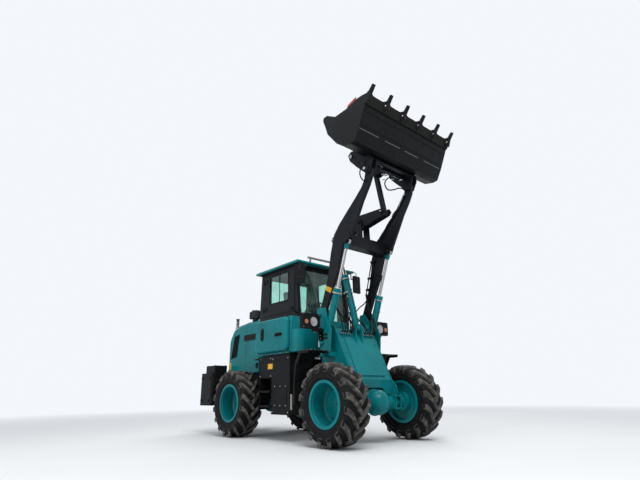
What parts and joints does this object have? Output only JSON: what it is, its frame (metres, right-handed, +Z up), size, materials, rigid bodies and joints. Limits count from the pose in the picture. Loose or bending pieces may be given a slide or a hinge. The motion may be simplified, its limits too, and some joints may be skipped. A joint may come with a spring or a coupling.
{
  "type": "wheel loader",
  "caption": "Articulated wheel loader with a raised boom, a rocker linkage, a quick coupler and a toothed bucket rolled back.",
  "frame": {"origin": "on the ground under the articulation joint, half way between the axles and under the centre of the bounding box", "axes": "+X forward, +Y to the machine's left, +Z up"},
  "size_m": [5.3013, 2.15, 5.161],
  "materials": {
    "teal_paint": "satin teal machine paint",
    "charcoal_paint": "semi-matt charcoal paint",
    "black_trim": "matt black",
    "tyre_rubber": "dusty rubber",
    "rod_chrome": "polished",
    "clear_glass": "clear",
    "engine_iron": "cast",
    "seat_fabric": "woven"
  },
  "bodies": {
    "rear_frame": {"rear_frame": "charcoal_paint", "rear_axle": "teal_paint", "counterweight": "charcoal_paint", "engine_block": "engine_iron", "platform": "teal_paint", "side_tanks": "black_trim", "cab_frame": "charcoal_paint", "cab_roof": "teal_paint", "roof_bar": "black_trim", "cab_glass": "clear_glass", "seat": "seat_fabric", "steering_console": "black_trim", "mirrors": "black_trim"},
    "hood": {"hood": "teal_paint", "hood_grilles": "black_trim", "hood_stacks": "black_trim"},
    "door_left": {"door_left": "charcoal_paint", "door_glass_left": "clear_glass"},
    "door_right": {"door_right": "charcoal_paint", "door_glass_right": "clear_glass"},
    "front_frame": {"front_frame": "teal_paint", "front_axle": "teal_paint", "front_fenders": "black_trim", "front_lamps": "black_trim"},
    "boom": {"boom": "charcoal_paint"},
    "rocker": {"rocker": "charcoal_paint"},
    "tilt_link": {"tilt_link": "charcoal_paint"},
    "bucket": {"coupler": "charcoal_paint", "bucket": "charcoal_paint", "bucket_teeth": "charcoal_paint"},
    "tilt_barrel": {"tilt_barrel": "teal_paint"},
    "tilt_rod": {"tilt_rod": "rod_chrome"},
    "wheel_front_left": {"tyre_front_left": "tyre_rubber", "rim_front_left": "teal_paint"},
    "wheel_rear_left": {"tyre_rear_left": "tyre_rubber", "rim_rear_left": "teal_paint"},
    "lift_barrel_left": {"lift_barrel_left": "teal_paint"},
    "lift_rod_left": {"lift_rod_left": "rod_chrome"},
    "steer_barrel_left": {"steer_barrel_left": "charcoal_paint"},
    "steer_rod_left": {"steer_rod_left": "rod_chrome"},
    "wheel_front_right": {"tyre_front_right": "tyre_rubber", "rim_front_right": "teal_paint"},
    "wheel_rear_right": {"tyre_rear_right": "tyre_rubber", "rim_rear_right": "teal_paint"},
    "lift_barrel_right": {"lift_barrel_right": "teal_paint"},
    "lift_rod_right": {"lift_rod_right": "rod_chrome"},
    "steer_barrel_right": {"steer_barrel_right": "charcoal_paint"},
    "steer_rod_right": {"steer_rod_right": "rod_chrome"}
  },
  "joints": [
    {"name": "steer", "type": "hinge", "parent": "rear_frame", "child": "front_frame", "pos_m": [0, 0, 0.7], "axis": [0, 0, 1], "range_deg": [-32, 32]},
    {"name": "wheel_front_left", "type": "hinge", "parent": "front_frame", "child": "wheel_front_left", "pos_m": [1.315, 0.845, 0.575], "axis": [0, 1, 0], "continuous": true},
    {"name": "wheel_rear_left", "type": "hinge", "parent": "rear_frame", "child": "wheel_rear_left", "pos_m": [-1.315, 0.845, 0.575], "axis": [0, 1, 0], "continuous": true},
    {"name": "wheel_front_right", "type": "hinge", "parent": "front_frame", "child": "wheel_front_right", "pos_m": [1.315, -0.845, 0.575], "axis": [0, 1, 0], "continuous": true},
    {"name": "wheel_rear_right", "type": "hinge", "parent": "rear_frame", "child": "wheel_rear_right", "pos_m": [-1.315, -0.845, 0.575], "axis": [0, 1, 0], "continuous": true},
    {"name": "boom_lift", "type": "hinge", "parent": "front_frame", "child": "boom", "pos_m": [0.745, 0, 1.93], "axis": [0, -1, 0], "range_deg": [-96, 0]},
    {"name": "bucket_tilt", "type": "hinge", "parent": "boom", "child": "bucket", "pos_m": [1.97, 0, 4.16], "axis": [0, 1, 0], "range_deg": [0, 95]},
    {"name": "rocker_swing", "type": "hinge", "parent": "boom", "child": "rocker", "pos_m": [1.27, 0, 3.55], "axis": [0, -1, 0], "range_deg": [-0.5, 33.75]},
    {"name": "link_swing", "type": "hinge", "parent": "rocker", "child": "tilt_link", "pos_m": [1.789, 0, 3.591], "axis": [0, 1, 0], "range_deg": [-0.5, 82.2]},
    {"name": "lift_barrel_left", "type": "hinge", "parent": "front_frame", "child": "lift_barrel_left", "pos_m": [0.8, 0.51, 1.48], "axis": [0, -1, 0], "range_deg": [-87.44, 0.5]},
    {"name": "lift_rod_left", "type": "slide", "parent": "lift_barrel_left", "child": "lift_rod_left", "axis": [0.3513, 0, 0.9363], "range_m": [-0.6401, 0.001]},
    {"name": "lift_barrel_right", "type": "hinge", "parent": "front_frame", "child": "lift_barrel_right", "pos_m": [0.8, -0.51, 1.48], "axis": [0, -1, 0], "range_deg": [-87.44, 0.5]},
    {"name": "lift_rod_right", "type": "slide", "parent": "lift_barrel_right", "child": "lift_rod_right", "axis": [0.3513, 0, 0.9363], "range_m": [-0.6401, 0.001]},
    {"name": "tilt_barrel", "type": "hinge", "parent": "front_frame", "child": "tilt_barrel", "pos_m": [1.021, 0, 1.745], "axis": [0, -1, 0], "range_deg": [-96.46, 0.5]},
    {"name": "tilt_rod", "type": "slide", "parent": "tilt_barrel", "child": "tilt_rod", "axis": [-0.2465, 0, 0.9691], "range_m": [-0.3767, 0.001]},
    {"name": "steer_barrel_left", "type": "hinge", "parent": "rear_frame", "child": "steer_barrel_left", "pos_m": [-0.43, 0.3, 0.69], "axis": [0, 0, 1], "range_deg": [-14.5, 14.5]},
    {"name": "steer_rod_left", "type": "slide", "parent": "steer_barrel_left", "child": "steer_rod_left", "axis": [0.9963, -0.0861, 0], "range_m": [-0.1453, 0.1453]},
    {"name": "steer_barrel_right", "type": "hinge", "parent": "rear_frame", "child": "steer_barrel_right", "pos_m": [-0.43, -0.3, 0.69], "axis": [0, 0, 1], "range_deg": [-14.5, 14.5]},
    {"name": "steer_rod_right", "type": "slide", "parent": "steer_barrel_right", "child": "steer_rod_right", "axis": [0.9963, 0.0861, 0], "range_m": [-0.1453, 0.1453]},
    {"name": "hood_lid", "type": "hinge", "parent": "rear_frame", "child": "hood", "pos_m": [-2.145, 0, 1.15], "axis": [0, -1, 0], "range_deg": [0, 55]},
    {"name": "door_left_hinge", "type": "hinge", "parent": "rear_frame", "child": "door_left", "pos_m": [-0.842, 0.636, 2.2], "axis": [0, 0, 1], "range_deg": [0, 90]},
    {"name": "door_right_hinge", "type": "hinge", "parent": "rear_frame", "child": "door_right", "pos_m": [-0.842, -0.636, 2.5], "axis": [0, 0, -1], "range_deg": [0, 90]}
  ],
  "couplings": [
    {"joint": "rocker_swing", "follows": "bucket_tilt", "ratio": 0.35},
    {"joint": "link_swing", "follows": "bucket_tilt", "ratio": 0.86},
    {"joint": "lift_barrel_left", "follows": "boom_lift", "ratio": 0.90562},
    {"joint": "lift_rod_left", "follows": "boom_lift", "m_per_rad": 0.38144},
    {"joint": "lift_barrel_right", "follows": "boom_lift", "ratio": 0.90562},
    {"joint": "lift_rod_right", "follows": "boom_lift", "m_per_rad": 0.38144},
    {"joint": "tilt_barrel", "follows": "boom_lift", "ratio": 0.99955},
    {"joint": "tilt_rod", "follows": "bucket_tilt", "m_per_rad": -0.22657},
    {"joint": "steer_barrel_left", "follows": "steer", "ratio": 0.43762},
    {"joint": "steer_rod_left", "follows": "steer", "m_per_rad": -0.25832},
    {"joint": "steer_barrel_right", "follows": "steer", "ratio": 0.43762},
    {"joint": "steer_rod_right", "follows": "steer", "m_per_rad": 0.25832}
  ]
}
